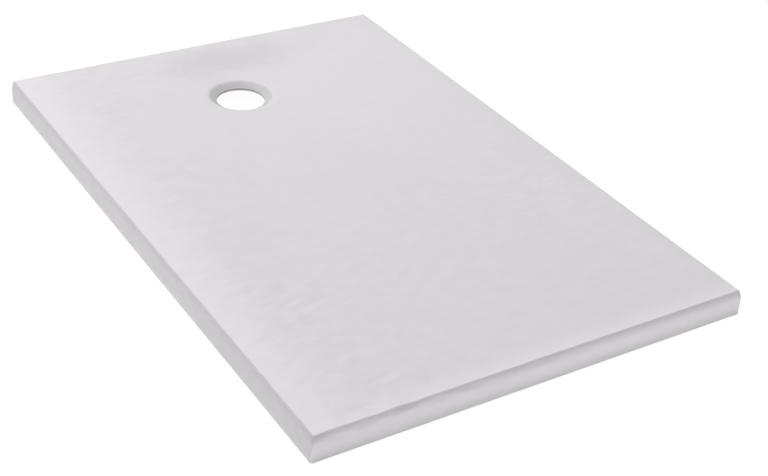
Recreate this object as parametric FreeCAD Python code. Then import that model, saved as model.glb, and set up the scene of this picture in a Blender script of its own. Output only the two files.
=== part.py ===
import FreeCAD, Part
import math
import os

# Rectangular shower tray: a thermoformed sheet with a riven deck that falls to a round waste near one short end.
# The sheet is backed by laminate and stiffened underneath with boards, battens and ribs that stand on the floor.
# Millimetres. Origin: centre of the footprint on the floor. +X across the width, +Y towards the waste, +Z up.

# Outside of the tray
TRAY_WIDTH = 800.0
TRAY_LENGTH = 1200.0
TRAY_HEIGHT = 46.5
CORNER_RADIUS = 3.5
EDGE_RADIUS = 6.0
LEAN_HEIGHT = 20.0
LEAN_ANGLE = math.radians(22.0)
LEAN_STEPS = 3
EDGE_STEPS = 5

# Deck: a flat rim all round, then a fall to the waste recess
RIM_WIDTH = 30.0
RIM_CORNER_RADIUS = 60.0
DECK_FALL = 14.0

# Waste recess and hole
WASTE_OFF_CENTRE = 11.0
WASTE_FROM_REAR = 216.0
WASTE_RADIUS = 47.0
RECESS_RADIUS = 64.0
RECESS_DEPTH = 10.0
SEAT_WIDTH = 3.5

# Sheet and laminate
SHEET = 5.5
LAMINATE = 2.5
LAMINATE_OFF_FLOOR = 8.0
LAMINATE_OFF_RECESS = 4.0

# Stiffener ring glued under the deck round the recess
RING_OFF_LAMINATE = 2.0
RING_WIDTH = 35.0
RING_THICKNESS = 9.0

# Deck boards, with a square pocket left open for the trap
BOARD_THICKNESS = 9.0
BOARD_GAP = 2.0
POCKET_OFF_RING = 10.0
FRONT_BOARD_LENGTH = 430.0

# Battens along the skirts, blocks in the corners, ribs under the boards
BATTEN_WIDTH = 18.0
BLOCK_SIZE = 45.0
RIB_THICKNESS = 12.0
RIB_COUNT = 4

# How far cutting solids reach past what they cut
REACH = 5.0

WASTE_X = -WASTE_OFF_CENTRE
WASTE_Y = TRAY_LENGTH / 2 - WASTE_FROM_REAR
BACKING = SHEET + LAMINATE
BOARDS_DEPTH = BACKING + BOARD_THICKNESS
RING_INNER = RECESS_RADIUS + LAMINATE_OFF_RECESS + RING_OFF_LAMINATE
RING_OUTER = RING_INNER + RING_WIDTH
POCKET = RING_OUTER + POCKET_OFF_RING
INNER_X = TRAY_WIDTH / 2 - BACKING
INNER_Y = TRAY_LENGTH / 2 - BACKING
HEADER_Y = WASTE_Y - POCKET


def rounded_rectangle(width, length, radius, height):
    """Wire of 4 lines and 4 arcs, centred on the tray, anticlockwise from the right-hand side."""
    half_x, half_y = width / 2, length / 2
    in_x, in_y = half_x - radius, half_y - radius
    corners = [(in_x, in_y), (-in_x, in_y), (-in_x, -in_y), (in_x, -in_y)]

    def on_arc(corner, angle):
        x, y = corners[corner]
        return FreeCAD.Vector(x + radius * math.cos(angle), y + radius * math.sin(angle), height)

    edges = []
    for corner in range(4):
        start = corner * math.pi / 2
        side_from = on_arc(corner - 1, start)
        side_to = on_arc(corner, start)
        arc_mid = on_arc(corner, start + math.pi / 4)
        arc_to = on_arc(corner, start + math.pi / 2)
        edges.append(Part.LineSegment(side_from, side_to).toShape())
        edges.append(Part.Arc(side_to, arc_mid, arc_to).toShape())
    return Part.Wire(edges)


def skirt_sections(depth):
    """Inset and height of each level section, depth under the outer surface.

    The skirt is upright at the floor, leans inwards along an arc, and turns over into the rim.
    """
    lean_start = TRAY_HEIGHT - LEAN_HEIGHT
    lean_radius = (LEAN_HEIGHT - EDGE_RADIUS * (1 - math.sin(LEAN_ANGLE))) / math.sin(LEAN_ANGLE)
    radius = lean_radius - depth
    if depth > 0:
        lean_end = math.asin((LEAN_HEIGHT - depth) / radius)
        sections = [(depth, -REACH)]
    else:
        lean_end = LEAN_ANGLE
        sections = [(depth, 0.0)]
    for step in range(LEAN_STEPS + 1):
        angle = lean_end * step / LEAN_STEPS
        sections.append((lean_radius - radius * math.cos(angle), lean_start + radius * math.sin(angle)))
    if depth > 0:
        return sections
    edge_inset = lean_radius - (lean_radius - EDGE_RADIUS) * math.cos(LEAN_ANGLE)
    for step in range(1, EDGE_STEPS + 1):
        angle = LEAN_ANGLE + (math.pi / 2 - LEAN_ANGLE) * step / EDGE_STEPS
        inset = edge_inset - EDGE_RADIUS * math.cos(angle)
        sections.append((inset, TRAY_HEIGHT - EDGE_RADIUS + EDGE_RADIUS * math.sin(angle)))
    return sections


def fall_space(depth):
    """Space over the sloping deck, from the rim's outline down to the round recess, lowered by depth."""
    rim = rounded_rectangle(
        TRAY_WIDTH - 2 * RIM_WIDTH, TRAY_LENGTH - 2 * RIM_WIDTH, RIM_CORNER_RADIUS, TRAY_HEIGHT - depth
    )
    low = TRAY_HEIGHT - DECK_FALL - depth

    def bearing(point):
        return math.atan2(point.y - WASTE_Y, point.x - WASTE_X)

    def on_recess(angle):
        x = WASTE_X + RECESS_RADIUS * math.cos(angle)
        return FreeCAD.Vector(x, WASTE_Y + RECESS_RADIUS * math.sin(angle), low)

    slopes = []
    recess_edges = []
    for edge in rim.Edges:
        start = bearing(edge.valueAt(edge.FirstParameter))
        turn = (bearing(edge.valueAt(edge.LastParameter)) - start) % (2 * math.pi)
        arc = Part.Arc(on_recess(start), on_recess(start + turn / 2), on_recess(start + turn)).toShape()
        recess_edges.append(arc)
        slopes.append(Part.makeRuledSurface(edge, arc))
    lid = Part.Face(rim)
    bottom = Part.Face(Part.Wire(recess_edges))
    shell = Part.Compound([*slopes, lid, bottom])
    shell.sewShape()
    solid = Part.Solid(shell.Shells[0])
    if solid.Volume < 0:
        solid.reverse()
    return solid


def dish_space(depth):
    """Space over the deck and inside the funnel of the waste recess, lowered by depth."""
    seat_radius = WASTE_RADIUS + SEAT_WIDTH
    seat_height = TRAY_HEIGHT - DECK_FALL - RECESS_DEPTH - depth
    funnel = Part.makeCone(
        seat_radius, RECESS_RADIUS, RECESS_DEPTH, FreeCAD.Vector(WASTE_X, WASTE_Y, seat_height)
    )
    return fall_space(depth).fuse(funnel)


def tray_form(depth):
    """The whole tray as if it were one block, depth under its outer surface."""
    wires = []
    for inset, height in skirt_sections(depth):
        wires.append(
            rounded_rectangle(TRAY_WIDTH - 2 * inset, TRAY_LENGTH - 2 * inset, CORNER_RADIUS, height)
        )
    return Part.makeLoft(wires, True, True).cut(dish_space(depth))


def box(low_x, low_y, low_z, high_x, high_y, high_z):
    """Box between two corners."""
    size = (high_x - low_x, high_y - low_y, high_z - low_z)
    return Part.makeBox(*size, FreeCAD.Vector(low_x, low_y, low_z))


def over_floor(low_x, low_y, high_x, high_y):
    """Upright box from the floor to the top of the tray."""
    return box(low_x, low_y, 0.0, high_x, high_y, TRAY_HEIGHT)


def waste_cylinder(radius, low, high):
    """Cylinder on the waste's axis."""
    return Part.makeCylinder(radius, high - low, FreeCAD.Vector(WASTE_X, WASTE_Y, low))


def top_shell(outside, sheet_inside):
    hole = waste_cylinder(WASTE_RADIUS, -REACH, TRAY_HEIGHT)
    return outside.cut([sheet_inside, hole])


def fibreglass_backing(sheet_inside, hollow):
    bare_skirt = box(
        -TRAY_WIDTH, -TRAY_LENGTH, -2 * REACH, TRAY_WIDTH, TRAY_LENGTH, LAMINATE_OFF_FLOOR
    )
    bare_recess = waste_cylinder(RECESS_RADIUS + LAMINATE_OFF_RECESS, -REACH, TRAY_HEIGHT)
    return sheet_inside.cut([hollow, bare_skirt, bare_recess])


def waste_stiffener_ring(hollow):
    bottom = TRAY_HEIGHT - DECK_FALL - BACKING - RING_THICKNESS
    disc = waste_cylinder(RING_OUTER, bottom, TRAY_HEIGHT)
    opening = waste_cylinder(RING_INNER, 0.0, TRAY_HEIGHT)
    return disc.cut(opening).common(hollow)


def deck_boards(board_layer):
    """Boards glued under the deck, in a band across the front and middle and round the trap pocket."""
    split_y = -INNER_Y + FRONT_BOARD_LENGTH
    left, right = WASTE_X - POCKET, WASTE_X + POCKET
    far_x, far_y = INNER_X + REACH, INNER_Y + REACH
    rear_y = WASTE_Y + POCKET
    outlines = {
        "front_deck_board": (-far_x, -far_y, far_x, split_y),
        "middle_deck_board": (-far_x, split_y + BOARD_GAP, far_x, HEADER_Y),
        "rear_left_deck_board": (-far_x, HEADER_Y + BOARD_GAP, left, far_y),
        "rear_right_deck_board": (right, HEADER_Y + BOARD_GAP, far_x, far_y),
        "rear_end_deck_board": (left + BOARD_GAP, rear_y, right - BOARD_GAP, far_y),
    }
    return {name: board_layer.common(over_floor(*outline)) for name, outline in outlines.items()}


def edge_battens(under_boards):
    """Battens that line the four skirts, the short ones fitted between the long ones."""
    far_x, far_y = INNER_X + REACH, INNER_Y + REACH
    in_x, in_y = INNER_X - BATTEN_WIDTH, INNER_Y - BATTEN_WIDTH
    outlines = {
        "left_edge_batten": (-far_x, -far_y, -in_x, far_y),
        "right_edge_batten": (in_x, -far_y, far_x, far_y),
        "front_edge_batten": (-in_x, -far_y, in_x, -in_y),
        "rear_edge_batten": (-in_x, in_y, in_x, far_y),
    }
    return {name: under_boards.common(over_floor(*outline)) for name, outline in outlines.items()}


def corner_blocks(under_boards):
    """Three-cornered blocks that tie the battens together in the four corners."""
    corner_x, corner_y = INNER_X - BATTEN_WIDTH, INNER_Y - BATTEN_WIDTH
    blocks = []
    for side_x in (-1, 1):
        for side_y in (-1, 1):
            corner = FreeCAD.Vector(side_x * corner_x, side_y * corner_y, 0.0)
            along_x = corner - FreeCAD.Vector(side_x * BLOCK_SIZE, 0.0, 0.0)
            along_y = corner - FreeCAD.Vector(0.0, side_y * BLOCK_SIZE, 0.0)
            face = Part.Face(Part.makePolygon([corner, along_x, along_y, corner]))
            prism = face.extrude(FreeCAD.Vector(0.0, 0.0, TRAY_HEIGHT))
            blocks.append(under_boards.common(prism))
    return Part.Compound(blocks)


def cross_ribs(under_boards):
    """Evenly spaced ribs from batten to batten, the last of which is the trap pocket's header."""
    in_x = INNER_X - BATTEN_WIDTH
    front_y = -INNER_Y + BATTEN_WIDTH
    pitch = (HEADER_Y - front_y) / (RIB_COUNT + 1)
    ribs = {}
    for number in range(1, RIB_COUNT + 2):
        rear = front_y + number * pitch
        name = f"cross_rib_{number}" if number <= RIB_COUNT else "trap_pocket_header"
        ribs[name] = under_boards.common(over_floor(-in_x, rear - RIB_THICKNESS, in_x, rear))
    return ribs


def pocket_trimmers(under_boards):
    """Short ribs on both sides of the trap pocket, from its header to the rear batten."""
    rear_y = INNER_Y - BATTEN_WIDTH
    left, right = WASTE_X - POCKET, WASTE_X + POCKET
    outlines = {
        "trap_pocket_left_trimmer": (left - RIB_THICKNESS, HEADER_Y, left, rear_y),
        "trap_pocket_right_trimmer": (right, HEADER_Y, right + RIB_THICKNESS, rear_y),
    }
    return {name: under_boards.common(over_floor(*outline)) for name, outline in outlines.items()}


def space_below_boards():
    """Space between the floor and the underside of the deck boards, which follows the deck's fall."""
    tray_plan = over_floor(-TRAY_WIDTH / 2, -TRAY_LENGTH / 2, TRAY_WIDTH / 2, TRAY_LENGTH / 2)
    rim_underside = TRAY_HEIGHT - BOARDS_DEPTH
    above = box(
        -TRAY_WIDTH, -TRAY_LENGTH, rim_underside, TRAY_WIDTH, TRAY_LENGTH, TRAY_HEIGHT + REACH
    )
    return tray_plan.cut([above, fall_space(BOARDS_DEPTH)])


def build():
    """Every sub-part by name."""
    outside = tray_form(0.0)
    sheet_inside = tray_form(SHEET)
    hollow = tray_form(BACKING)
    below_boards = space_below_boards()
    under_boards = hollow.common(below_boards)
    board_layer = hollow.cut(below_boards)
    parts = {
        "top_shell": top_shell(outside, sheet_inside),
        "fibreglass_backing": fibreglass_backing(sheet_inside, hollow),
        "waste_stiffener_ring": waste_stiffener_ring(hollow),
        "corner_blocks": corner_blocks(under_boards),
    }
    parts.update(deck_boards(board_layer))
    parts.update(edge_battens(under_boards))
    parts.update(cross_ribs(under_boards))
    parts.update(pocket_trimmers(under_boards))
    return parts


os.makedirs("parts", exist_ok=True)
for name, shape in build().items():
    shape.exportStep(f"parts/{name}.step")
    print(name, len(shape.Solids), shape.isValid(), round(shape.Volume), shape.BoundBox)
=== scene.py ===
import bpy
import math
import numpy as np
from mathutils import Matrix, Vector


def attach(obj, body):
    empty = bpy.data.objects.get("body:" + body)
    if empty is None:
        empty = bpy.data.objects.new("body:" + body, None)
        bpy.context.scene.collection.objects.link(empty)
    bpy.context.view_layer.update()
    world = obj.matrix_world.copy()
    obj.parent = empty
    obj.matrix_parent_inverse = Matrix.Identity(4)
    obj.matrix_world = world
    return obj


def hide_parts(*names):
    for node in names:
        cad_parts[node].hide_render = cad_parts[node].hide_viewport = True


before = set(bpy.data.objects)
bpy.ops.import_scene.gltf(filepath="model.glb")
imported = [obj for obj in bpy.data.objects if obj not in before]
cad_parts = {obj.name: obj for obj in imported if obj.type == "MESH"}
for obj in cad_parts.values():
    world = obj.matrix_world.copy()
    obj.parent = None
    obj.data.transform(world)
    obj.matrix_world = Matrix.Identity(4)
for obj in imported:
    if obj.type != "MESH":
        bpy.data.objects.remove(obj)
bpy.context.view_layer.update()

# ---------------------------------------------------------------- sizes, in millimetres, as in the solids
MM = 0.001
WIDTH, LENGTH, HEIGHT = 800.0, 1200.0, 46.5
CORNER_RADIUS = 3.5
LEAN_HEIGHT = 20.0
LEAN_ANGLE = math.radians(22.0)
RIM_WIDTH = 30.0
RIM_CORNER_RADIUS = 60.0
DECK_FALL = 14.0
WASTE_X, WASTE_Y = -11.0, 384.0
WASTE_RADIUS = 47.0
RECESS_RADIUS = 64.0
RECESS_DEPTH = 10.0
SEAT_WIDTH = 3.5
SHEET = 5.5
SOLID_EDGE_RADIUS = 6.0

# ---------------------------------------------------------------- softer forms, which only the scene has
EDGE_RADIUS = 5.0
# the deck drops towards its border by a little, over this width
CROWN_DROP, CROWN_WIDTH = 0.12, 20.0
FALL_SOFTNESS = 26.0
LIP_RADIUS, LIP_SOFTNESS = 64.0, 2.6
# the recess is this much deeper at the hole than in the solids
EXTRA_DEPTH = 1.0
# rounding of the hole's cut, and the depth from which its wall is smooth
CUT_ROUND, CUT_ROUGH = 1.0, 2.5
# the foot is rounded outside through a middle point; inside, the foot and the hole have a bevel
FOOT_ROUND, FOOT_MIDDLE = 1.0, 0.3
BEVEL = 0.5


def lean_radius(edge_radius):
    """Radius of the skirt's upper bend, which meets the edge's rounding at the lean's angle."""
    return (LEAN_HEIGHT - edge_radius * (1 - math.sin(LEAN_ANGLE))) / math.sin(LEAN_ANGLE)


LEAN_RADIUS = lean_radius(EDGE_RADIUS)
SOLID_LEAN_RADIUS = lean_radius(SOLID_EDGE_RADIUS)
EDGE_INSET = LEAN_RADIUS - (LEAN_RADIUS - EDGE_RADIUS) * math.cos(LEAN_ANGLE)
EDGE_TOP = HEIGHT - CROWN_DROP
LEAN_START = EDGE_TOP - LEAN_HEIGHT
CROWN_TILT = 2 * CROWN_DROP / CROWN_WIDTH
HALF_X, HALF_Y = WIDTH / 2, LENGTH / 2
DECK_X, DECK_Y = HALF_X - EDGE_INSET, HALF_Y - EDGE_INSET

# ---------------------------------------------------------------- the riven texture

LATTICE = 256
# the texture's streaks are bent by noise of this cell, by up to about this reach
BEND_CELL, BEND_REACH = 95.0, 24.0
BEND_SEED_X, BEND_SEED_Y = 11, 12
# each layer's cell along x, its cell along y and z, and its seed
SWELL = (170.0, 110.0, 1)
FLOW = (64.0, 30.0, 2)
STREAK = (30.0, 13.0, 3)
FINE = (15.0, 8.0, 4)
SWELL_GAIN, FLOW_GAIN, STREAK_GAIN, FINE_GAIN = 0.35, 0.7, 0.8, 0.3
FLOW_CREST = 0.35
# what stands higher than this level is cut off flat, at the smooth form
FLAT_LEVEL = 0.85
BASE_STRENGTH = 0.45
# spots where the texture is stronger: centre, reach and gain
STRONG_SPOTS = (
    ((-300.0, -430.0), (300.0, 340.0), 1.0),
    ((190.0, -190.0), (260.0, 150.0), 0.55),
    ((-330.0, 330.0), (150.0, 330.0), 0.35),
    ((120.0, 560.0), (300.0, 60.0), 0.3),
)


def lattice_noise(x, y, z, seed):
    """Smooth gradient noise of about -0.7 to 0.7, one lattice cell per unit."""
    rng = np.random.default_rng(seed)
    order = rng.permutation(LATTICE)
    gradients = rng.normal(size=(LATTICE, 3))
    gradients /= np.linalg.norm(gradients, axis=1)[:, None]
    cells = [np.floor(value).astype(int) for value in (x, y, z)]
    parts = [value - cell for value, cell in zip((x, y, z), cells)]
    fades = [part**3 * (part * (part * 6 - 15) + 10) for part in parts]
    total = np.zeros_like(x)
    for i in (0, 1):
        for j in (0, 1):
            for k in (0, 1):
                index = order[(cells[0] + i) % LATTICE]
                index = order[(index + cells[1] + j) % LATTICE]
                index = order[(index + cells[2] + k) % LATTICE]
                slope = gradients[index]
                dot = (
                    slope[:, 0] * (parts[0] - i)
                    + slope[:, 1] * (parts[1] - j)
                    + slope[:, 2] * (parts[2] - k)
                )
                weight = np.ones_like(x)
                for fade, side in zip(fades, (i, j, k)):
                    weight = weight * (fade if side else 1 - fade)
                total += dot * weight
    return total


def layer(x, y, z, cell_x, cell_yz, seed):
    """One layer of noise, with cells that are longer or shorter along x."""
    return lattice_noise(x / cell_x, y / cell_yz, z / cell_yz, seed)


def relief(points):
    """Depth of the riven texture under the smooth form, 0 or more, in millimetres."""
    x, y, z = points.T
    u = x + BEND_REACH * layer(x, y, z, BEND_CELL, BEND_CELL, BEND_SEED_X)
    v = y + BEND_REACH * layer(x, y, z, BEND_CELL, BEND_CELL, BEND_SEED_Y)
    swell = layer(u, v, z, *SWELL)
    flow = FLOW_CREST - np.abs(layer(u, v, z, *FLOW))
    streak = layer(u, v, z, *STREAK)
    fine = layer(u, v, z, *FINE)
    strength = np.full_like(x, BASE_STRENGTH)
    for (spot_x, spot_y), (reach_x, reach_y), gain in STRONG_SPOTS:
        strength += gain * np.exp(-(((x - spot_x) / reach_x) ** 2) - ((y - spot_y) / reach_y) ** 2)
    height = SWELL_GAIN * swell + strength * (FLOW_GAIN * flow + STREAK_GAIN * streak + FINE_GAIN * fine)
    return np.clip(FLAT_LEVEL - height, 0.0, None)


# ---------------------------------------------------------------- the sheet's form

TINY = 1e-9


def corner_arc(x, y):
    """Outward directions that places on the square net's border have once its corners are round."""
    sides = ((x, DECK_X), (y, DECK_Y))
    a, b = (np.clip((np.abs(value) - (half - CORNER_RADIUS)) / CORNER_RADIUS, 0, 1) for value, half in sides)
    return np.sign(x) * a * np.sqrt(1 - b**2 / 2), np.sign(y) * b * np.sqrt(1 - a**2 / 2)


def plan(x, y, inset):
    """Places that the square net gets on the tray's plan with round corners, drawn in by inset."""
    arc_x, arc_y = corner_arc(x, y)
    placed = []
    for value, half, net_half, arc in ((x, HALF_X, DECK_X, arc_x), (y, HALF_Y, DECK_Y, arc_y)):
        share = np.clip(value / (net_half - CORNER_RADIUS), -1, 1)
        placed.append(share * (half - inset - CORNER_RADIUS) + CORNER_RADIUS * arc)
    return placed


def rim_distance(dx, dy):
    """Distance from the waste's axis to the rim's inner outline, along unit directions."""
    rim_x, rim_y = HALF_X - RIM_WIDTH, HALF_Y - RIM_WIDTH
    with np.errstate(divide="ignore"):
        to_x = (np.sign(dx) * rim_x - WASTE_X) / dx
        to_y = (np.sign(dy) * rim_y - WASTE_Y) / dy
    to_x = np.where(np.abs(dx) < TINY, np.inf, to_x)
    to_y = np.where(np.abs(dy) < TINY, np.inf, to_y)
    distance = np.minimum(to_x, to_y)
    px, py = WASTE_X + distance * dx, WASTE_Y + distance * dy
    in_x, in_y = rim_x - RIM_CORNER_RADIUS, rim_y - RIM_CORNER_RADIUS
    corner = (np.abs(px) > in_x) & (np.abs(py) > in_y)
    cx, cy = np.sign(px) * in_x - WASTE_X, np.sign(py) * in_y - WASTE_Y
    along = dx * cx + dy * cy
    inside = np.clip(along**2 - (cx**2 + cy**2 - RIM_CORNER_RADIUS**2), 0, None)
    return np.where(corner, along + np.sqrt(inside), distance)


def soft_ramp(value, softness):
    """0 below 0 and value above it, with a smooth bend."""
    return 0.5 * (value + np.sqrt(value**2 + softness**2))


def deck_height(x, y):
    """Height of the smooth deck with its waste recess."""
    dx, dy = x - WASTE_X, y - WASTE_Y
    away = np.hypot(dx, dy)
    reach = rim_distance(dx / away, dy / away)
    slope = DECK_FALL / (reach - RECESS_RADIUS)
    fall = np.minimum(slope * soft_ramp(reach - away, FALL_SOFTNESS), DECK_FALL)
    steepness = (RECESS_DEPTH + EXTRA_DEPTH) / (LIP_RADIUS - WASTE_RADIUS)
    funnel = steepness * soft_ramp(LIP_RADIUS - away, LIP_SOFTNESS)
    to_border = np.minimum(HALF_X - np.abs(x), HALF_Y - np.abs(y)) - EDGE_INSET
    crown = CROWN_DROP * np.clip(1 - to_border / CROWN_WIDTH, 0, 1) ** 2
    return HEIGHT - crown - fall - funnel


# ---------------------------------------------------------------- the sheet's net

UP = np.array([0.0, 0.0, 1.0])
SPACING = 3.9
CORNER_STEPS = 4
# a square patch round the waste, of this half side, has a round net instead of the square one, which
# keeps its lines along the patch's sides
PATCH = 96.0
LINE_WIDTH = 0.01
OUTER_RING = 76.0
PATCH_SHARES = (0.25, 0.5, 0.75, 1.0)
RECESS_RINGS = (
    73.5, 71.5, 69.8, 68.3, 67.0, 65.8, 64.6, 63.4, 62.2, 60.8,
    59.2, 57.4, 55.6, 53.8, 52.4, 51.4, 50.6, 49.8, 49.1, 48.4,
)
# the relief's weight between these radii, where it fades into the recess, and round the cut of the hole
FADE_RADII, FADE_WEIGHTS = (50.0, 66.0), (0.25, 1.0)
CUT_WEIGHT, CUT_STEPS = 0.2, 5
EDGE_STEPS, LEAN_STEPS, INNER_STEPS = 7, 6, 3
# heights on the skirt's straight part, with the relief's weight, which fades towards the floor
SKIRT_HEIGHTS = ((21.0, 1.0), (16.0, 0.9), (11.0, 0.8), (6.0, 0.6), (2.5, 0.4), (1.0, 0.2))


class Net:
    """Points with their outward directions and the weight of the relief, and faces."""

    def __init__(self):
        self.points, self.outward, self.weights, self.faces = [], [], [], []
        self.count = 0

    def add(self, points, outward, weight):
        """Adds points and gives their numbers."""
        self.points.append(points)
        self.outward.append(np.broadcast_to(outward, points.shape))
        self.weights.append(np.full(len(points), weight))
        first = self.count
        self.count += len(points)
        return np.arange(first, self.count)

    def ring(self, loop, points, outward=UP, weight=0.0, outside=False):
        """Adds a closed loop of points inside or outside the last one, with quads between the two."""
        added = self.add(points, outward, weight)
        outer, inner = (added, loop) if outside else (loop, added)
        following = np.roll(np.arange(len(outer)), -1)
        quads = np.stack([outer, outer[following], inner[following], inner], axis=1)
        self.faces.extend(quads.tolist())
        return added

    def stitch(self, outer, inner, outer_turn, inner_turn):
        """Triangles between two closed loops, paired by their points' bearings."""
        outer = np.roll(outer, -int(np.argmin(outer_turn)))
        outer_turn = np.sort(outer_turn)
        inner = np.roll(inner, -int(np.argmin(inner_turn)))
        inner_turn = np.sort(inner_turn)
        i = j = 0
        n, m = len(outer), len(inner)
        full = 2 * math.pi
        while i < n or j < m:
            next_outer = outer_turn[(i + 1) % n] + full * ((i + 1) // n)
            next_inner = inner_turn[(j + 1) % m] + full * ((j + 1) // m)
            a, b = outer[i % n], inner[j % m]
            if j >= m or (i < n and next_outer <= next_inner):
                self.faces.append([a, outer[(i + 1) % n], b])
                i += 1
            else:
                self.faces.append([a, inner[(j + 1) % m], b])
                j += 1

    def mesh(self, name):
        """The mesh of all faces, with its points pressed in by the relief."""
        points = np.concatenate(self.points)
        outward = np.concatenate(self.outward)
        weights = np.concatenate(self.weights)
        rough = weights > 0
        depth = relief(points[rough]) * weights[rough]
        points[rough] -= outward[rough] * depth[:, None]
        mesh = bpy.data.meshes.new(name)
        mesh.from_pydata((points * MM).tolist(), [], [[int(i) for i in face] for face in self.faces])
        mesh.validate()
        mesh.shade_smooth()
        return mesh


def net_lines(half, middle):
    """The square net's lines across one side, with stops at the corners' arcs and the patch's sides."""
    stops = (-half, CORNER_RADIUS - half, middle - PATCH, middle + PATCH, half - CORNER_RADIUS, half)
    values = [stops[0]]
    for low, high in zip(stops, stops[1:]):
        steps = CORNER_STEPS if high - low < 2 * SPACING else round((high - low) / SPACING)
        values.extend(low + (high - low) * step / steps for step in range(1, steps + 1))
    return np.array(values)


def in_patch(xs, ys, half):
    """Which pairs of an x and a y lie in a square round the waste."""
    return np.logical_and.outer(np.abs(xs - WASTE_X) < half, np.abs(ys - WASTE_Y) < half)


def patch_lines(values, middle):
    """Numbers of the two net lines on the patch's sides."""
    return (int(np.argmin(np.abs(values - stop))) for stop in (middle - PATCH, middle + PATCH))


def around(low_i, high_i, low_j, high_j):
    """Numbers of the net's lines in x and in y, round a rectangle, anticlockwise."""
    front = [(i, low_j) for i in range(low_i, high_i)]
    right = [(high_i, j) for j in range(low_j, high_j)]
    back = [(i, high_j) for i in range(high_i, low_i, -1)]
    left = [(low_i, j) for j in range(high_j, low_j, -1)]
    return np.array(front + right + back + left).T


def on_deck(x, y):
    """Points of the smooth deck."""
    return np.stack([x, y, deck_height(x, y)], axis=1)


def circle(turns, radius, height):
    """Points at given bearings from the waste's axis."""
    x, y = WASTE_X + radius * np.cos(turns), WASTE_Y + radius * np.sin(turns)
    return np.stack([x, y, np.broadcast_to(height, turns.shape)], axis=1)


def bearings(points):
    """Bearings of points from the waste's axis."""
    return np.arctan2(points[:, 1] - WASTE_Y, points[:, 0] - WASTE_X)


def deck_net(net):
    """Adds the deck's square net, and gives its lines and the numbers of its points, -1 for none."""
    xs, ys = net_lines(DECK_X, WASTE_X), net_lines(DECK_Y, WASTE_Y)
    grid_x, grid_y = np.meshgrid(xs, ys, indexing="ij")
    kept = ~in_patch(xs, ys, PATCH - LINE_WIDTH)
    number = np.full(kept.shape, -1)
    number[kept] = net.add(on_deck(*plan(grid_x[kept], grid_y[kept], EDGE_INSET)), UP, 1.0)
    whole = ~in_patch((xs[:-1] + xs[1:]) / 2, (ys[:-1] + ys[1:]) / 2, PATCH)
    quads = np.stack([number[:-1, :-1], number[1:, :-1], number[1:, 1:], number[:-1, 1:]], axis=-1)
    net.faces.extend(quads[whole].tolist())
    return xs, ys, number


def patch_net(net, xs, ys, number):
    """Adds the round net from the patch's border down the recess, through the hole and out under the
    deck to the rim, and gives its last loop with its points."""
    i, j = around(*patch_lines(xs, WASTE_X), *patch_lines(ys, WASTE_Y))
    loop = number[i, j]
    square_x, square_y = xs[i] - WASTE_X, ys[j] - WASTE_Y
    turns = math.atan2(square_y[0], square_x[0]) + 2 * math.pi * np.arange(len(loop)) / len(loop)
    for share in PATCH_SHARES:
        ring_x = (1 - share) * square_x + share * OUTER_RING * np.cos(turns) + WASTE_X
        ring_y = (1 - share) * square_y + share * OUTER_RING * np.sin(turns) + WASTE_Y
        loop = net.ring(loop, on_deck(ring_x, ring_y), weight=1.0)
    for radius in RECESS_RINGS:
        flat = circle(turns, radius, 0.0)
        fade = np.interp(radius, FADE_RADII, FADE_WEIGHTS)
        loop = net.ring(loop, on_deck(flat[:, 0], flat[:, 1]), weight=fade)
    cut_top = deck_height(np.array([WASTE_X + RECESS_RINGS[-1]]), np.array([WASTE_Y]))[0]
    for step in range(CUT_STEPS + 1):
        angle = math.pi / 2 * step / CUT_STEPS
        radius = WASTE_RADIUS + CUT_ROUND * (1 - math.sin(angle))
        height = cut_top - CUT_ROUND * (1 - math.cos(angle))
        loop = net.ring(loop, circle(turns, radius, height), weight=CUT_WEIGHT)
    under_deck = HEIGHT - DECK_FALL - SHEET
    under_hole = HEIGHT - DECK_FALL - RECESS_DEPTH - SHEET
    for radius, height in (
        (WASTE_RADIUS, cut_top - CUT_ROUGH),
        (WASTE_RADIUS, under_hole + BEVEL),
        (WASTE_RADIUS + BEVEL, under_hole),
        (WASTE_RADIUS + SEAT_WIDTH, under_hole),
        (RECESS_RADIUS, under_deck),
        (rim_distance(np.cos(turns), np.sin(turns)), HEIGHT - SHEET),
    ):
        points = circle(turns, radius, height)
        loop = net.ring(loop, points)
    return loop, points


def skirt_section():
    """The skirt's outline from the deck's edge down, under the foot and up the inside, as insets and
    heights, with the tilt of the outward direction above level and the relief's weight."""
    section = []
    top_tilt = math.pi / 2 - CROWN_TILT
    for step in range(1, EDGE_STEPS + 1):
        tilt = top_tilt + (LEAN_ANGLE - top_tilt) * step / EDGE_STEPS
        height = EDGE_TOP - EDGE_RADIUS + EDGE_RADIUS * math.sin(tilt)
        section.append((EDGE_INSET - EDGE_RADIUS * math.cos(tilt), height, tilt, 1.0))
    for step in range(1, LEAN_STEPS + 1):
        tilt = LEAN_ANGLE * (1 - step / LEAN_STEPS)
        inset = LEAN_RADIUS - LEAN_RADIUS * math.cos(tilt)
        section.append((inset, LEAN_START + LEAN_RADIUS * math.sin(tilt), tilt, 1.0))
    section += [(0.0, height, 0.0, weight) for height, weight in SKIRT_HEIGHTS]
    foot = ((FOOT_MIDDLE, FOOT_MIDDLE), (FOOT_ROUND, 0.0), (SHEET - BEVEL, 0.0), (SHEET, BEVEL))
    section += [(inset, height, 0.0, 0.0) for inset, height in foot]
    inner_radius = SOLID_LEAN_RADIUS - SHEET
    lean_end = math.asin((LEAN_HEIGHT - SHEET) / inner_radius)
    for step in range(INNER_STEPS + 1):
        angle = lean_end * step / INNER_STEPS
        inset = SOLID_LEAN_RADIUS - inner_radius * math.cos(angle)
        section.append((inset, HEIGHT - LEAN_HEIGHT + inner_radius * math.sin(angle), 0.0, 0.0))
    return section


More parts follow.
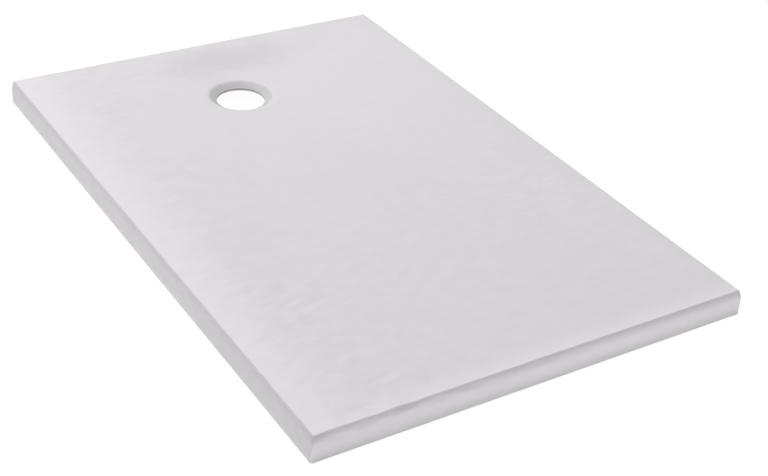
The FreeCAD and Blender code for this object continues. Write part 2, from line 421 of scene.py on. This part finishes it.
def skirt_net(net, xs, ys, number):
    """Adds the skirts from the deck's border on, and gives their last loop with its points."""
    i, j = around(0, len(xs) - 1, 0, len(ys) - 1)
    loop = number[i, j]
    side_x, side_y = corner_arc(xs[i], ys[j])
    level = np.ones(len(loop))
    for inset, height, tilt, weight in skirt_section():
        points = np.stack([*plan(xs[i], ys[j], inset), height * level], axis=1)
        flat, rise = math.cos(tilt), math.sin(tilt)
        outward = np.stack([side_x * flat, side_y * flat, rise * level], axis=1)
        loop = net.ring(loop, points, outward, weight, outside=True)
    return loop, points


def tray_sheet():
    """The moulded sheet: deck, edges, skirts and underside as one closed mesh."""
    net = Net()
    xs, ys, number = deck_net(net)
    under_rim, rim_points = patch_net(net, xs, ys, number)
    inner_edge, edge_points = skirt_net(net, xs, ys, number)
    net.stitch(under_rim, inner_edge, bearings(rim_points), bearings(edge_points))
    return net.mesh("tray_sheet")


# ---------------------------------------------------------------- nodes


class Nodes:
    """The node tree of a material or the world. All calls but put and finish give outputs."""

    def __init__(self, owner):
        owner.use_nodes = True
        self.owner = owner
        self.tree = owner.node_tree
        self.tree.nodes.clear()

    def put(self, kind, inputs=None, **settings):
        """A new node, with inputs linked to outputs or set to values."""
        node = self.tree.nodes.new(kind)
        for key, value in settings.items():
            setattr(node, key, value)
        for key, value in (inputs or {}).items():
            if isinstance(value, bpy.types.NodeSocket):
                self.tree.links.new(value, node.inputs[key])
            else:
                node.inputs[key].default_value = value
        return node

    def place(self):
        """The place on the object, in metres."""
        return self.put("ShaderNodeTexCoord").outputs["Object"]

    def split(self, vector):
        """The outputs X, Y and Z of a vector."""
        return self.put("ShaderNodeSeparateXYZ", {"Vector": vector}).outputs

    def noise(self, vector, scale, detail, roughness=0.5, output="Fac"):
        """Smooth noise from 0 to 1 over places."""
        inputs = {"Vector": vector, "Scale": scale, "Detail": detail, "Roughness": roughness}
        return self.put("ShaderNodeTexNoise", inputs).outputs[output]

    def ramp(self, value, low, high, to_low=0.0, to_high=1.0, curve="LINEAR"):
        """to_low to to_high, while the value goes from low to high."""
        inputs = {"Value": value, "From Min": low, "From Max": high, "To Min": to_low, "To Max": to_high}
        return self.put("ShaderNodeMapRange", inputs, interpolation_type=curve).outputs["Result"]

    def soft(self, value, low, high, to_low=0.0, to_high=1.0):
        """A ramp with smooth ends."""
        return self.ramp(value, low, high, to_low, to_high, "SMOOTHSTEP")

    def span(self, value, to_low, to_high):
        """to_low to to_high, while the value goes from 0 to 1."""
        return self.ramp(value, 0.0, 1.0, to_low, to_high)

    def maths(self, operation, *values):
        """The outcome of an operation on numbers."""
        return self.put("ShaderNodeMath", dict(enumerate(values)), operation=operation).outputs[0]

    def vector(self, operation, *values, output="Vector"):
        """The outcome of an operation on vectors."""
        node = self.put("ShaderNodeVectorMath", dict(enumerate(values)), operation=operation)
        return node.outputs[output]

    def scaled(self, vector, scale, location=(0.0, 0.0, 0.0)):
        """The vector times the scale, plus the location."""
        inputs = {"Vector": vector, "Location": location, "Scale": scale}
        return self.put("ShaderNodeMapping", inputs).outputs["Vector"]

    def bent(self, place, scale, detail, reach):
        """Places that noise has shifted by up to the reach."""
        drift = self.noise(place, scale, detail, output="Color")
        return self.vector("ADD", place, self.vector("MULTIPLY", drift, (reach,) * 3))

    def grain(self, place, along, slow, fast, detail):
        """Noise stretched along one axis, for wood."""
        scale = [fast, fast, fast]
        scale["XYZ".index(along)] = slow
        return self.noise(self.scaled(place, scale), 1.0, detail)

    def blend(self, factor, first, second, kind="MIX"):
        """A mix of two colours, each an output or three numbers."""
        inputs = {"Factor": factor}
        for key, colour in (("A", first), ("B", second)):
            inputs[key] = colour if isinstance(colour, bpy.types.NodeSocket) else (*colour, 1.0)
        return self.put("ShaderNodeMix", inputs, data_type="RGBA", blend_type=kind).outputs["Result"]

    def finish(self, colour, roughness, height, strength, distance, specular=0.3):
        """Ends a material with its shader and a bump, and gives the material."""
        bump = self.put("ShaderNodeBump", {"Height": height, "Strength": strength, "Distance": distance})
        shader = self.put(
            "ShaderNodeBsdfPrincipled",
            {
                "Base Color": colour,
                "Roughness": roughness,
                "Specular IOR Level": specular,
                "Normal": bump.outputs["Normal"],
            },
        )
        self.put("ShaderNodeOutputMaterial", {"Surface": shader.outputs["BSDF"]})
        return self.owner


def new_material(name):
    """The empty node tree of a new material."""
    return Nodes(bpy.data.materials.new(name))


# ---------------------------------------------------------------- the sheet's material, places in metres

DARK_SPECKS, LIGHT_SPECKS = (0.738, 0.71, 0.736), (0.898, 0.866, 0.894)
# painted highlight: the lighter tone of the deck's left and front borders
PAINTED_HIGHLIGHT_BORDER = (0.95, 0.918, 0.946)
# painted shade: the darker tone of the patch behind the waste
PAINTED_SHADE_TONE = (0.7, 0.672, 0.697)
# painted shade: the factor that darkens the recess's wall and the outer bends
PAINTED_SHADE_GREY = (0.84, 0.84, 0.84)
SPECK_STRETCH = (26.0, 58.0, 58.0)
# A ramp has a value's two ends and what it gives there, 0 and 1 where only the ends are given.
# A rise is the upward part of the surface's direction: 1 on the deck and 0 on an upright skirt.
MOTTLE_LEFT = (-0.34, -0.02, 1.3, 0.48)
MOTTLE_FRONT = (-0.25, 0.1, 1.0, 0.58)
MOTTLE_SPOT = (0.27, -0.2, 0.04)
MOTTLE_ROUND_SPOT = (0.22, 0.05, 0.0, 0.26)
MOTTLE_RISE = (0.5, 0.9, 0.3)
MOTTLE_PATCHES = (0.35, 0.65)
MOTTLE_BY_PATCH = (0.45, 1.0)
# reach of the painted highlight at the left and at the front, on level places only
BORDER_LEFT = (-0.27, -0.4, 0.0, 0.55)
BORDER_FRONT = (-0.55, -0.6, 0.0, 0.55)
BORDER_RISE = (0.93, 0.98)
# the painted shade behind the waste, where the deck falls towards it: its centre, about 0.025 past the real
# one as the bends move places by that much, and its reach
PAINTED_SHADE_X, PAINTED_SHADE_Y = 0.045, 0.55
PAINTED_SHADE_REACH_X, PAINTED_SHADE_REACH_Y = 0.17, 0.065
PAINTED_SHADE_EDGE = (1.15, 0.3, 0.0, 0.55)
PAINTED_SHADE_TEAR = 0.6
# reach of the painted shade on the recess's wall and on the outer bends
WALL_FROM_LIP = (0.066, 0.058)
WALL_FROM_CUT = (0.0476, 0.0486)
BEND_FROM_TOP = (0.95, 0.85)
BEND_FROM_SIDE = (0.1, 0.4)
SHEET_ROUGHNESS = (0.72, 0.82)


def mottle_strength(n, place, split, rise):
    """Strength of the mottling: more at the left, at the front and near one spot, less on the skirts."""
    left = n.soft(split["X"], *MOTTLE_LEFT)
    spot = n.soft(n.vector("DISTANCE", place, MOTTLE_SPOT, output="Value"), *MOTTLE_ROUND_SPOT)
    placed = n.maths("MULTIPLY", n.maths("ADD", left, spot), n.ramp(split["Y"], *MOTTLE_FRONT))
    placed = n.maths("MULTIPLY", placed, n.ramp(rise, *MOTTLE_RISE))
    patchy = n.ramp(n.noise(place, scale=5.0, detail=2.0), *MOTTLE_PATCHES)
    return n.maths("MULTIPLY", n.span(patchy, *MOTTLE_BY_PATCH), placed)


def painted_highlight_border(n, split, rise):
    """How far a level place lies in the border at the left and front that is painted lighter, as a painted
    highlight along the deck's edges.
    """
    border = n.maths("MAXIMUM", n.soft(split["X"], *BORDER_LEFT), n.soft(split["Y"], *BORDER_FRONT))
    return n.maths("MULTIPLY", border, n.ramp(rise, *BORDER_RISE))


def painted_shade_behind_waste(n, bent, mottle):
    """How far a place lies in the patch of painted shade behind the waste, which the mottling tears at its
    edge.
    """
    scale = (1 / PAINTED_SHADE_REACH_X, 1 / PAINTED_SHADE_REACH_Y, 0.0)
    location = (-PAINTED_SHADE_X / PAINTED_SHADE_REACH_X, -PAINTED_SHADE_Y / PAINTED_SHADE_REACH_Y, 0.0)
    away = n.vector("LENGTH", n.scaled(bent, scale, location), output="Value")
    return n.soft(n.maths("MULTIPLY_ADD", mottle, PAINTED_SHADE_TEAR, away), *PAINTED_SHADE_EDGE)


def painted_shade_place(n, place, rise):
    """1 on the recess's wall and over the outer bends, where shade is painted on the sheet, and 0 elsewhere.
    """
    flat = n.vector("MULTIPLY", place, (1.0, 1.0, 0.0))
    away = n.vector("DISTANCE", flat, (WASTE_X * MM, WASTE_Y * MM, 0.0), output="Value")
    wall = n.maths("MULTIPLY", n.soft(away, *WALL_FROM_LIP), n.ramp(away, *WALL_FROM_CUT))
    bend = n.maths("MULTIPLY", n.ramp(rise, *BEND_FROM_TOP), n.ramp(rise, *BEND_FROM_SIDE))
    return n.maths("MAXIMUM", bend, wall)


def sheet_material():
    """Satin white sheet, faintly mottled along the riven texture, with a fine grain. A painted highlight
    lightens its left and front borders, and painted shade darkens the place behind the waste, the recess's
    wall and the outer bends.
    """
    n = new_material("sheet_plastic")
    place = n.place()
    split = n.split(place)
    rise = n.split(n.put("ShaderNodeNewGeometry").outputs["Normal"])["Z"]
    bent = n.bent(place, scale=9.0, detail=2.0, reach=0.05)
    streaks = n.noise(n.scaled(bent, SPECK_STRETCH), scale=1.0, detail=3.0)
    mottle = n.maths("SUBTRACT", streaks, 0.5)
    specks = n.maths("MULTIPLY_ADD", mottle, mottle_strength(n, place, split, rise), 0.5)
    colour = n.blend(specks, DARK_SPECKS, LIGHT_SPECKS)
    # painted highlight: the left and front borders of the deck are made lighter
    colour = n.blend(painted_highlight_border(n, split, rise), colour, PAINTED_HIGHLIGHT_BORDER)
    # painted shade: the patch behind the waste, where the deck falls towards it, is darkened
    colour = n.blend(painted_shade_behind_waste(n, bent, mottle), colour, PAINTED_SHADE_TONE)
    # painted shade: the recess's wall and the outer bends are darkened
    colour = n.blend(painted_shade_place(n, place, rise), colour, PAINTED_SHADE_GREY, "MULTIPLY")
    rough = n.span(n.noise(place, scale=60.0, detail=3.0), *SHEET_ROUGHNESS)
    grain = n.noise(place, scale=260.0, detail=4.0, roughness=0.6)
    return n.finish(colour, rough, grain, strength=0.35, distance=0.0002, specular=0.35)


# ---------------------------------------------------------------- materials of the stiffening

RESIN_DARK, RESIN_PALE, GLASS = (0.46, 0.42, 0.25), (0.66, 0.63, 0.46), (0.78, 0.77, 0.66)
CHIP_BROWN, CHIP_PALE, CHIP_EDGE = (0.46, 0.32, 0.18), (0.72, 0.56, 0.36), (0.30, 0.20, 0.11)
PINE_DARK, PINE_PALE, PINE_RING = (0.68, 0.49, 0.28), (0.82, 0.65, 0.42), (0.50, 0.29, 0.13)
BIRCH_DARK, BIRCH_PALE, BIRCH_CROSSED = (0.60, 0.43, 0.25), (0.84, 0.69, 0.48), (0.36, 0.22, 0.11)
LAMINATE_ROUGHNESS, BOARD_ROUGHNESS = (0.32, 0.55), (0.7, 0.92)
PINE_ROUGHNESS, BIRCH_ROUGHNESS = (0.55, 0.8), (0.5, 0.78)
STRAND_TURNS = (0.2, 0.95, 1.75, 2.5)
STRAND_STRETCH = (26.0, 480.0, 60.0)
STRAND_EDGE = (0.54, 0.66)
CHIP_RIM = (0.3, 0.7)
RING_TURNS, RING_EDGE, RING_STRENGTH = 75.0, (-0.2, 1.0), 0.55
# two plies' thickness in metres, the share of it where the crossed ply begins, and its strength
PLY_PAIR, PLY_EDGE, PLY_STRENGTH = 0.0028, (0.46, 0.54), 0.45


def laminate_material():
    """Chopped glass strands lying every way in straw coloured resin."""
    n = new_material("chopped_strand_laminate")
    place = n.place()
    bent = n.bent(place, scale=30.0, detail=1.0, reach=0.01)
    strands = None
    for turn in STRAND_TURNS:
        turned = n.put("ShaderNodeVectorRotate", {"Vector": bent, "Angle": turn}, rotation_type="Z_AXIS")
        stretched = n.scaled(turned.outputs["Vector"], STRAND_STRETCH)
        strand = n.ramp(n.noise(stretched, scale=1.0, detail=1.0), *STRAND_EDGE)
        strands = strand if strands is None else n.maths("MAXIMUM", strands, strand)
    resin = n.blend(n.noise(place, scale=12.0, detail=3.0), RESIN_DARK, RESIN_PALE)
    colour = n.blend(strands, resin, GLASS)
    rough = n.span(strands, *LAMINATE_ROUGHNESS)
    return n.finish(colour, rough, strands, strength=0.5, distance=0.0003, specular=0.45)


def board_material():
    """Pressed board of flat chips, from pale to brown, in finer dust."""
    n = new_material("chip_board")
    place = n.place()
    bent = n.bent(place, scale=160.0, detail=2.0, reach=0.004)
    chips = n.put("ShaderNodeTexVoronoi", {"Vector": bent, "Scale": 210.0}).outputs
    shade = n.put("ShaderNodeSeparateColor", {"Color": chips["Color"]}).outputs["Red"]
    dust = n.noise(place, scale=900.0, detail=3.0)
    fleck = n.maths("MULTIPLY", n.ramp(chips["Distance"], *CHIP_RIM), dust)
    colour = n.blend(fleck, n.blend(shade, CHIP_BROWN, CHIP_PALE), CHIP_EDGE)
    rough = n.span(dust, *BOARD_ROUGHNESS)
    return n.finish(colour, rough, chips["Distance"], strength=0.35, distance=0.0004)


def softwood_material(name, along):
    """Planed softwood with growth rings and fine fibres along the piece."""
    n = new_material(name)
    place = n.place()
    slow = n.grain(place, along, slow=1.6, fast=34.0, detail=2.0)
    wave = n.maths("SINE", n.maths("MULTIPLY", slow, RING_TURNS))
    rings = n.maths("MULTIPLY", n.ramp(wave, *RING_EDGE), RING_STRENGTH)
    fibres = n.grain(place, along, slow=18.0, fast=900.0, detail=3.0)
    colour = n.blend(rings, n.blend(fibres, PINE_DARK, PINE_PALE), PINE_RING)
    rough = n.span(fibres, *PINE_ROUGHNESS)
    return n.finish(colour, rough, fibres, strength=0.3, distance=0.0003)


def plywood_material(name, along, across):
    """Birch plywood: a fine grained face, and darker crossed plies that show on the cut edges."""
    n = new_material(name)
    place = n.place()
    share = n.maths("FRACT", n.maths("MULTIPLY", n.split(place)[across], 1 / PLY_PAIR))
    crossed = n.maths("MULTIPLY", n.ramp(share, *PLY_EDGE), PLY_STRENGTH)
    slow = n.grain(place, along, slow=5.0, fast=60.0, detail=3.0)
    colour = n.blend(crossed, n.blend(slow, BIRCH_DARK, BIRCH_PALE), BIRCH_CROSSED)
    fibres = n.grain(place, along, slow=40.0, fast=1200.0, detail=3.0)
    rough = n.span(fibres, *BIRCH_ROUGHNESS)
    return n.finish(colour, rough, fibres, strength=0.3, distance=0.0002)


def dress(material, *names):
    """Gives a material to CAD nodes."""
    for name in names:
        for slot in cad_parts[name].material_slots:
            slot.material = material


# ---------------------------------------------------------------- the object

scene = bpy.context.scene
mesh = tray_sheet()
sheet = bpy.data.objects.new("tray_sheet", mesh)
scene.collection.objects.link(sheet)
mesh.materials.append(sheet_material())
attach(sheet, "root")
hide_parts("top_shell")

boards = [f"{place}_deck_board" for place in ("front", "middle", "rear_left", "rear_right", "rear_end")]
ribs = [f"cross_rib_{number}" for number in (1, 2, 3, 4)]
dress(laminate_material(), "fibreglass_backing")
dress(board_material(), *boards)
dress(softwood_material("softwood_long", "Y"), "left_edge_batten", "right_edge_batten", "corner_blocks")
dress(softwood_material("softwood_short", "X"), "front_edge_batten", "rear_edge_batten")
dress(plywood_material("plywood_rib", "X", "Y"), *ribs, "trap_pocket_header")
dress(plywood_material("plywood_trimmer", "Y", "X"), "trap_pocket_left_trimmer", "trap_pocket_right_trimmer")
dress(plywood_material("plywood_ring", "X", "Z"), "waste_stiffener_ring")

# ---------------------------------------------------------------- floor, light and camera, in metres

FLOOR_REACH = 12.0
FLOOR_SEEN, FLOOR_SHADOW, FLOOR_PALE = 0.96, 0.14, 0.96
WORLD_STRENGTH = 0.07
# each lamp's place, the place it points at, its two sides and its power in watts
LAMPS = (
    ("key", (-0.6, 3.3, 7.6), (0.0, 0.0, 0.0), 3.0, 3.0, 600.0),
    ("front_fill", (0.1, -2.9, 0.22), (0.0, 0.0, 0.02), 1.4, 0.35, 22.5),
    ("left_fill", (-2.9, 0.0, 0.3), (0.0, 0.0, 0.02), 1.4, 0.5, 14.0),
)
SENSOR_WIDTH, LENS, CLIP_END = 36.0, 69.019, 50.0
CAMERA_PLACE = (-1.19215, -1.93087, 1.35454)
CAMERA_RIGHT = (0.85138691, -0.52100572, 0.06077307)
CAMERA_DOWN = (-0.23551793, -0.48322346, -0.84322381)
CAMERA_AHEAD = (0.4686914, 0.70359657, -0.53411632)


def grey(value):
    """A grey with full alpha."""
    return (value, value, value, 1.0)


def floor_material():
    """Floor that the camera and reflections see as nearly white, with the shadow left on it. To other
    light it is plain, pale and diffuse."""
    n = new_material("floor")
    path = n.put("ShaderNodeLightPath").outputs
    seen = n.maths("MAXIMUM", path["Is Camera Ray"], path["Is Glossy Ray"])
    seen = n.maths("MAXIMUM", seen, path["Is Transmission Ray"])
    plain = n.put("ShaderNodeBsdfDiffuse", {"Color": grey(FLOOR_PALE)})
    glow = n.put("ShaderNodeEmission", {"Color": grey(1.0), "Strength": FLOOR_SEEN})
    shade = n.put("ShaderNodeBsdfDiffuse", {"Color": grey(FLOOR_SHADOW)})
    both = n.put("ShaderNodeAddShader", {0: glow.outputs[0], 1: shade.outputs[0]})
    mix = n.put("ShaderNodeMixShader", {0: seen, 1: plain.outputs[0], 2: both.outputs[0]})
    n.put("ShaderNodeOutputMaterial", {"Surface": mix.outputs[0]})
    return n.owner


def add_floor():
    """A flat square under the tray, as part of the stage."""
    floor_mesh = bpy.data.meshes.new("floor")
    corners = [(FLOOR_REACH * x, FLOOR_REACH * y, 0.0) for x, y in ((-1, -1), (1, -1), (1, 1), (-1, 1))]
    floor_mesh.from_pydata(corners, [], [(0, 1, 2, 3)])
    floor = bpy.data.objects.new("floor", floor_mesh)
    scene.collection.objects.link(floor)
    floor_mesh.materials.append(floor_material())


def add_world():
    """Dim light from all round, which the camera sees as a pale background past the floor's end."""
    scene.world = bpy.data.worlds.new("studio")
    n = Nodes(scene.world)
    path = n.put("ShaderNodeLightPath").outputs
    seen = n.maths("MAXIMUM", path["Is Camera Ray"], path["Is Transmission Ray"])
    dim = n.put("ShaderNodeBackground", {"Strength": WORLD_STRENGTH})
    pale = n.put("ShaderNodeBackground", {"Strength": 1.0})
    mix = n.put("ShaderNodeMixShader", {0: seen, 1: dim.outputs[0], 2: pale.outputs[0]})
    n.put("ShaderNodeOutputWorld", {"Surface": mix.outputs[0]})


def add_lamps():
    """The area lamps, each turned to its target."""
    for name, place, target, size_x, size_y, power in LAMPS:
        light = bpy.data.lights.new(name, "AREA")
        light.shape = "RECTANGLE"
        light.size, light.size_y = size_x, size_y
        light.energy = power
        lamp = bpy.data.objects.new(name, light)
        scene.collection.objects.link(lamp)
        lamp.location = place
        lamp.rotation_euler = (Vector(target) - Vector(place)).to_track_quat("-Z", "Y").to_euler()


def add_camera():
    """The camera as fitted to the tray's edges in the photo."""
    data = bpy.data.cameras.new("camera")
    data.sensor_width = SENSOR_WIDTH
    data.lens = LENS
    data.clip_end = CLIP_END
    camera = bpy.data.objects.new("camera", data)
    scene.collection.objects.link(camera)
    turn = Matrix((CAMERA_RIGHT, -Vector(CAMERA_DOWN), -Vector(CAMERA_AHEAD))).transposed()
    camera.matrix_world = Matrix.Translation(CAMERA_PLACE) @ turn.to_4x4()
    scene.camera = camera


add_floor()
add_world()
add_lamps()
add_camera()
scene.view_settings.view_transform = "Standard"
